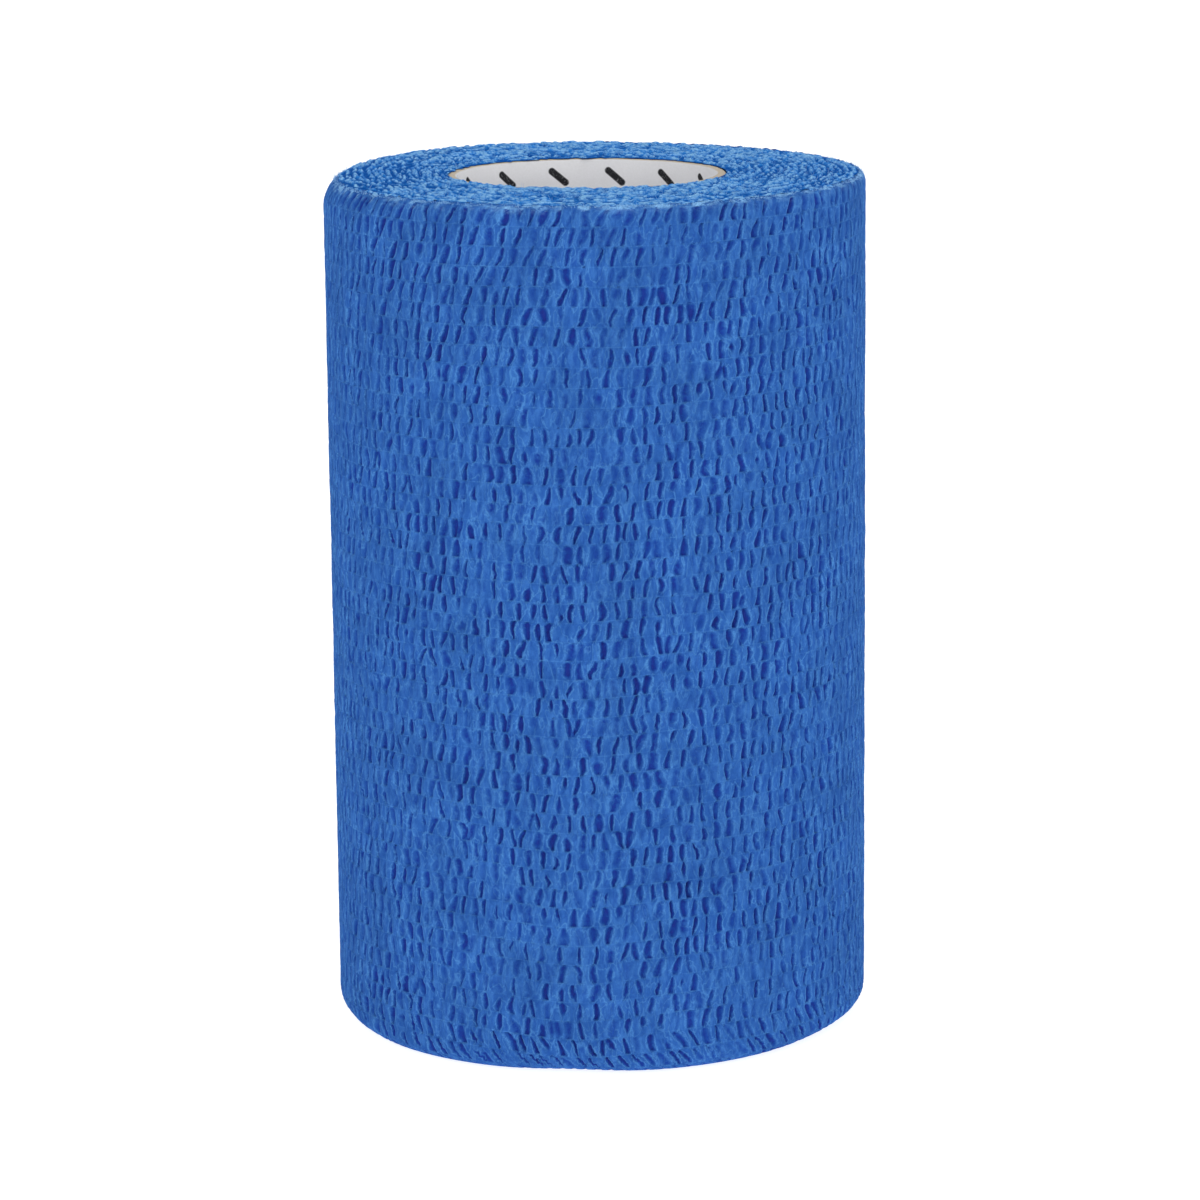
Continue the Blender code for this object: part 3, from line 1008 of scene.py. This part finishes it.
def rim_fibres(material):
    """Short fibres that stand out of the strip's upper cut edge and off the wound end."""
    dice = np.random.default_rng(47)
    angle = dice.uniform(0, TURN, RIM_FIBRES)
    bend = rim_round(angle)
    inward = dice.uniform(-0.1, 0.5, RIM_FIBRES) * MM
    radius = TOP_RADIUS + spiral(angle) - bend * (1 - math.cos(RIM_ARC)) - inward
    height = rim_height(angle) - bend * (1 - math.sin(RIM_ARC)) - 0.02 * MM
    roots = around_axis(angle, radius, height)
    out = dice.normal(0.25, 0.5, RIM_FIBRES)
    swing = dice.normal(0, 0.6, RIM_FIBRES)
    directions = outward(angle) * out[:, None] + forward(angle) * swing[:, None]
    directions[:, 2] = dice.uniform(0.3, 1.0, RIM_FIBRES)
    lengths = dice.uniform(0.12, 0.42, RIM_FIBRES) * MM

    face_angle = dice.uniform(0, TURN, FACE_FIBRES)
    inner, outer = FACE_FIBRES_RADII
    face_radius = np.sqrt(dice.uniform(inner ** 2, outer ** 2, FACE_FIBRES))
    face_roots = around_axis(face_angle, face_radius, WIDTH - 0.15 * MM)
    face_directions = dice.normal(0, 0.7, (FACE_FIBRES, 3))
    face_directions[:, 2] = dice.uniform(0.4, 1.0, FACE_FIBRES)
    face_lengths = dice.uniform(0.15, 0.5, FACE_FIBRES) * MM

    roots = np.concatenate([roots, face_roots])
    directions = np.concatenate([directions, face_directions])
    lengths = np.concatenate([lengths, face_lengths])
    return strands("rim_fibres", material, roots, directions, lengths, dice)


def end_fibres(material, end_line):
    """Fibres along the strip's cut end, and the end of an elastic thread between every two rows."""
    dice = np.random.default_rng(53)
    first_line, last_line = 8, len(end_line) - 4
    place = dice.uniform(first_line, last_line, END_FIBRES)
    lengths = dice.uniform(0.15, 0.75, END_FIBRES) * MM
    threads = np.arange(2, ROWS) * len(ROW_SAMPLES)
    place = np.concatenate([place, threads])
    lengths = np.concatenate([lengths, dice.uniform(0.4, 1.3, len(threads)) * MM])
    line = [np.interp(place, np.arange(len(end_line)), end_line[:, axis]) for axis in range(3)]
    roots = np.stack(line, -1)
    turn = np.arctan2(roots[:, 1] - CENTRE_Y, roots[:, 0] - CENTRE_X)
    sunk = dice.uniform(0.02, 0.55, len(place)) * MM
    roots = roots - outward(turn) * sunk[:, None] - forward(turn) * 0.1 * MM
    directions = forward(turn) + outward(turn) * dice.normal(0.0, 0.22, len(place))[:, None]
    directions[:, 2] = dice.normal(0.0, 0.55, len(place))
    return strands("end_fibres", material, roots, directions, lengths, dice)


# ----- The paper core -----
CORE_COLUMNS = 240
LINING_LINES = 40  # lines of points down the lining
SEAM_PITCH = 42 * MM  # how far the lining's spiral seam runs down in one turn
SEAM_STEP = 0.05 * MM
SEAM_COLUMNS = 2.2  # half of the seam's width, in columns
CORE_ROUGH = 0.02 * MM  # how uneven the cut edge is


def core_tube(material):
    """Paperboard tube: a lining with a spiral seam, and a rough cream cut edge."""
    angle = np.arange(CORE_COLUMNS) / CORE_COLUMNS * TURN
    rough = smooth_noise(CORE_COLUMNS, 4.0, np.random.default_rng(5)) * CORE_ROUGH
    lines = []
    for height in np.linspace(CORE_TOP - 0.15 * MM, 0.3 * MM, LINING_LINES):
        seam = np.mod(angle / TURN + height / SEAM_PITCH, 1.0)
        step = SEAM_STEP * np.clip(1 - np.abs(seam - 0.5) * CORE_COLUMNS / SEAM_COLUMNS, 0, 1)
        lines.append((CORE_INNER + step, height, 0.0))
    # around the lower edge, up the outside and over the upper edge
    lines += [
        (CORE_INNER + 0.12 * MM, 0.03 * MM, 1.0),
        (CORE_RADIUS - 0.12 * MM, 0.03 * MM, 1.0),
        (CORE_RADIUS, 0.15 * MM, 0.6),
        (CORE_RADIUS, CORE_TOP - 0.15 * MM, 0.6),
        (CORE_RADIUS - 0.12 * MM, CORE_TOP - 0.03 * MM + rough, 1.0),
        (CORE_RADIUS - 0.5 * MM, CORE_TOP - 0.02 * MM + rough * 0.6, 1.0),
        (CORE_INNER + 0.14 * MM, CORE_TOP - 0.03 * MM + rough, 1.0),
    ]
    centre = (CORE_CENTRE.x, CORE_CENTRE.y)
    points = np.stack([around_axis(angle, radius, height, centre) for radius, height, _ in lines])
    cut_edge = np.array([[cut] * CORE_COLUMNS for _, _, cut in lines])
    faces = ring_faces(len(points), CORE_COLUMNS)
    return make_mesh("core_tube", material, points, faces, {"cut_edge": cut_edge})


# ----- Stage, light and camera -----
PHOTO_SIZE = 1200  # the photograph's width and height in pixels
FOCAL_PIXELS = 4306  # focal length in the same pixels
CAMERA_BACK = 500 * MM
CAMERA_HEIGHT = 155.9 * MM
CAMERA_PITCH = math.radians(12.08)
CAMERA_ROLL = math.radians(-0.57)
CAMERA_SHIFT_PIXELS = 1.4
CAMERA_NEAR = 10 * MM
SENSOR_WIDTH = 36  # in millimetres, as Blender wants it
FLOOR_REACH = 3.0
FLOOR_DROP = 0.02 * MM  # keeps the floor clear of the roll's base
FLOOR_TONE = 0.50
FLOOR_GLOW = 0.85  # keeps the floor as pale as a lit studio sweep
WORLD_GLOW = 0.57
LIGHTS = (  # name, place, size and power in watts
    ("key", (-0.4, -1.0, 0.8), 0.7, 3.2),
    ("fill", (0.7, -0.9, 0.5), 0.8, 1.7),
    ("top", (0.3, 0.3, 1.1), 0.8, 2.6),
)


def build_floor():
    corners = [(x * FLOOR_REACH, y * FLOOR_REACH, 0) for x, y in ((-1, -1), (1, -1), (1, 1), (-1, 1))]
    floor_mesh = bpy.data.meshes.new("floor")
    floor_mesh.from_pydata(corners, [], [(0, 1, 2, 3)])
    floor = bpy.data.objects.new("floor", floor_mesh)
    bpy.context.scene.collection.objects.link(floor)
    floor.location.z = -FLOOR_DROP
    pale = Nodes("pale_floor")
    pale.feed(pale.shader, {
        "Base Color": (FLOOR_TONE, FLOOR_TONE, FLOOR_TONE, 1),
        "Roughness": 0.9,
        "Emission Color": (1, 1, 1, 1),
        "Emission Strength": FLOOR_GLOW,
    })
    floor.data.materials.append(pale.material)


def build_lights():
    world = bpy.data.worlds.new("studio")
    bpy.context.scene.world = world
    world.use_nodes = True
    background = world.node_tree.nodes["Background"]
    background.inputs["Color"].default_value = (1, 1, 1, 1)
    background.inputs["Strength"].default_value = WORLD_GLOW
    for name, place, size, power in LIGHTS:
        light = bpy.data.lights.new(name, "AREA")
        light.shape = "SQUARE"
        light.size = size
        light.energy = power
        lamp = bpy.data.objects.new(name, light)
        bpy.context.scene.collection.objects.link(lamp)
        lamp.location = place
        aim = Vector((0, 0, WIDTH / 2)) - lamp.location
        lamp.rotation_euler = aim.to_track_quat("-Z", "Y").to_euler()
    bpy.context.scene.view_settings.view_transform = "Standard"


def build_camera():
    lens = bpy.data.cameras.new("camera")
    lens.sensor_width = SENSOR_WIDTH
    lens.lens = FOCAL_PIXELS / PHOTO_SIZE * SENSOR_WIDTH
    lens.shift_x = CAMERA_SHIFT_PIXELS / PHOTO_SIZE
    lens.clip_start = CAMERA_NEAR
    camera = bpy.data.objects.new("camera", lens)
    bpy.context.scene.collection.objects.link(camera)
    upright = Euler((math.pi / 2 - CAMERA_PITCH, 0, 0)).to_matrix().to_4x4()
    rolled = upright @ Matrix.Rotation(CAMERA_ROLL, 4, "Z")
    camera.matrix_world = Matrix.Translation((0, -CAMERA_BACK, CAMERA_HEIGHT)) @ rolled
    bpy.context.scene.camera = camera


# ----- Assembly -----
def carry(piece, node):
    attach(piece, BODY)
    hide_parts(node)


build_camera()
build_floor()
build_lights()

cut_edges = ends_material()
fibres = fibre_material()
cloth_pieces, end_line = outer_turn(cloth_material())
cloth_pieces.append(end_face("upper_end", cut_edges, 3, 86, 1080, True))
cloth_pieces.append(end_face("base_end", cut_edges, 4, 36, 560, False))
cloth_pieces.append(rim_fibres(fibres))
cloth_pieces.append(end_fibres(fibres, end_line))
for cloth_piece in cloth_pieces:
    carry(cloth_piece, "bandage_roll")
carry(core_tube(paper_material()), "paper_core")
